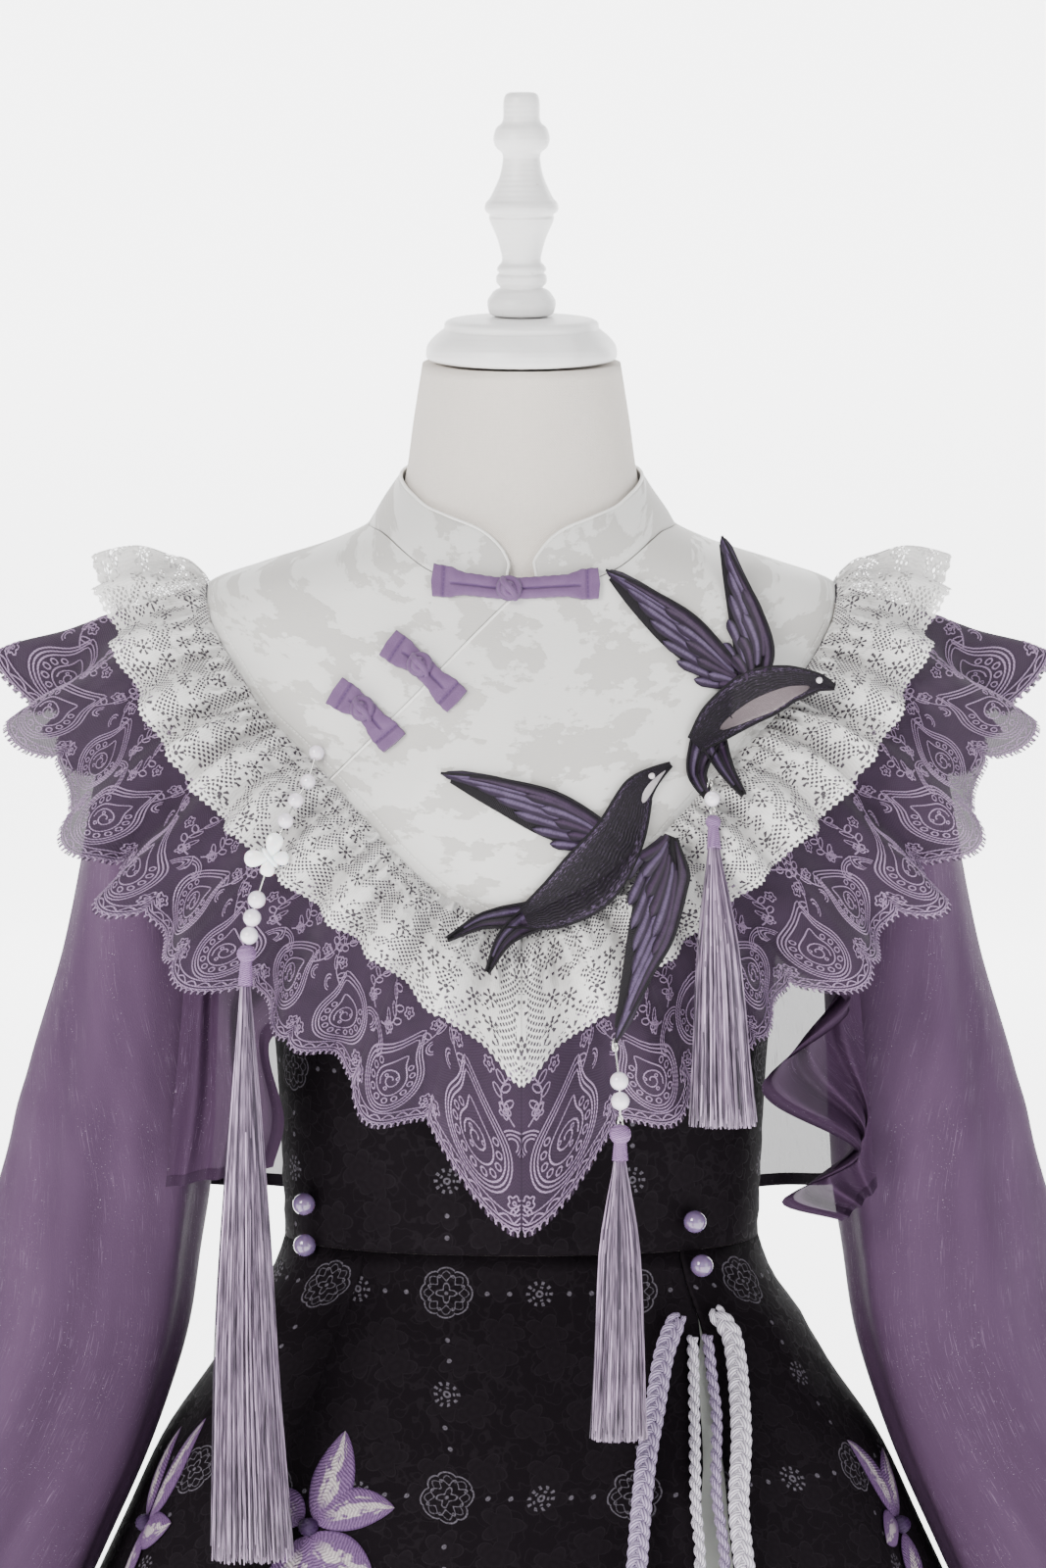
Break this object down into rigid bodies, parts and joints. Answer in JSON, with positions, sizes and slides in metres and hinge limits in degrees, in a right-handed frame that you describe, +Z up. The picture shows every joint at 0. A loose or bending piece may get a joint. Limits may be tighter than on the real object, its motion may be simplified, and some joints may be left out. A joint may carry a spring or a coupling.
{
  "type": "chinese lolita dress set on a limbless dress form",
  "caption": "Lace-trimmed chiffon blouse with a yoke and long sleeves over a black jacquard dress, worn on a limbless dress form with a round foot.",
  "frame": {"origin": "middle of the round foot's flat underside, on the floor", "axes": "+Z up along the pole, the front of the garment faces -Y, +X is on the viewer's right"},
  "size_m": [0.7496, 0.6708, 1.6437],
  "materials": {
    "linen": "matt off-white linen stretched over the form",
    "painted_wood": "white painted turned wood, slightly worn",
    "steel_pole": "satin steel tube",
    "black_jacquard": "black jacquard with tonal flowers and grey medallions",
    "pale_cloth": "pale plain underskirt cloth",
    "cream_jacquard": "off-white satin jacquard with soft clouds",
    "white_lace": "white embroidered net lace with a toothed edge",
    "mauve_lace": "dark mauve net embroidered with lilac paisley",
    "mauve_chiffon": "sheer mauve chiffon with fine glitter pinstripes",
    "frog_cloth": "purple bias-cut cloth",
    "dark_embroidery": "dense aubergine and lavender satin stitch",
    "pearl": "white pearl lacquer",
    "silk_thread": "glossy mauve silk thread",
    "purple_glass": "milky purple bead",
    "lilac_cord": "lilac and white plaited cord"
  },
  "bodies": {
    "root": {"torso": "linen", "neck_cap": "painted_wood", "finial": "painted_wood", "base": "painted_wood", "pole": "steel_pole", "bodice_front": "black_jacquard", "bodice_back": "black_jacquard", "strap_left": "black_jacquard", "strap_right": "black_jacquard", "skirt_front": "black_jacquard", "skirt_right": "black_jacquard", "skirt_left": "black_jacquard", "skirt_back": "black_jacquard", "underskirt": "pale_cloth", "collar": "cream_jacquard", "yoke_right": "cream_jacquard", "yoke_left": "cream_jacquard", "yoke_back": "cream_jacquard", "white_ruffle_right": "white_lace", "white_ruffle_left": "white_lace", "white_ruffle_back": "white_lace", "mauve_ruffle_right": "mauve_lace", "mauve_ruffle_left": "mauve_lace", "mauve_ruffle_back": "mauve_lace", "cape_front_left": "mauve_chiffon", "cape_front_right": "mauve_chiffon", "cape_back": "mauve_chiffon", "sleeve_left": "mauve_chiffon", "sleeve_right": "mauve_chiffon", "frog_top": "frog_cloth", "frog_middle": "frog_cloth", "frog_low": "frog_cloth", "swallow_upper": "dark_embroidery", "swallow_lower": "dark_embroidery", "pearls_left": "pearl", "pearls_centre": "pearl", "pearls_right": "pearl", "tassel_left": "silk_thread", "tassel_centre": "silk_thread", "tassel_right": "silk_thread", "bead_1": "purple_glass", "bead_2": "purple_glass", "bead_3": "purple_glass", "bead_4": "purple_glass", "cord_plait_left": "lilac_cord", "knot_plait_left": "lilac_cord", "cord_plait_right": "lilac_cord", "knot_plait_right": "lilac_cord", "cord_inner_left": "lilac_cord", "knot_inner_left": "lilac_cord", "cord_inner_right": "lilac_cord", "knot_inner_right": "lilac_cord"}
  },
  "joints": []
}
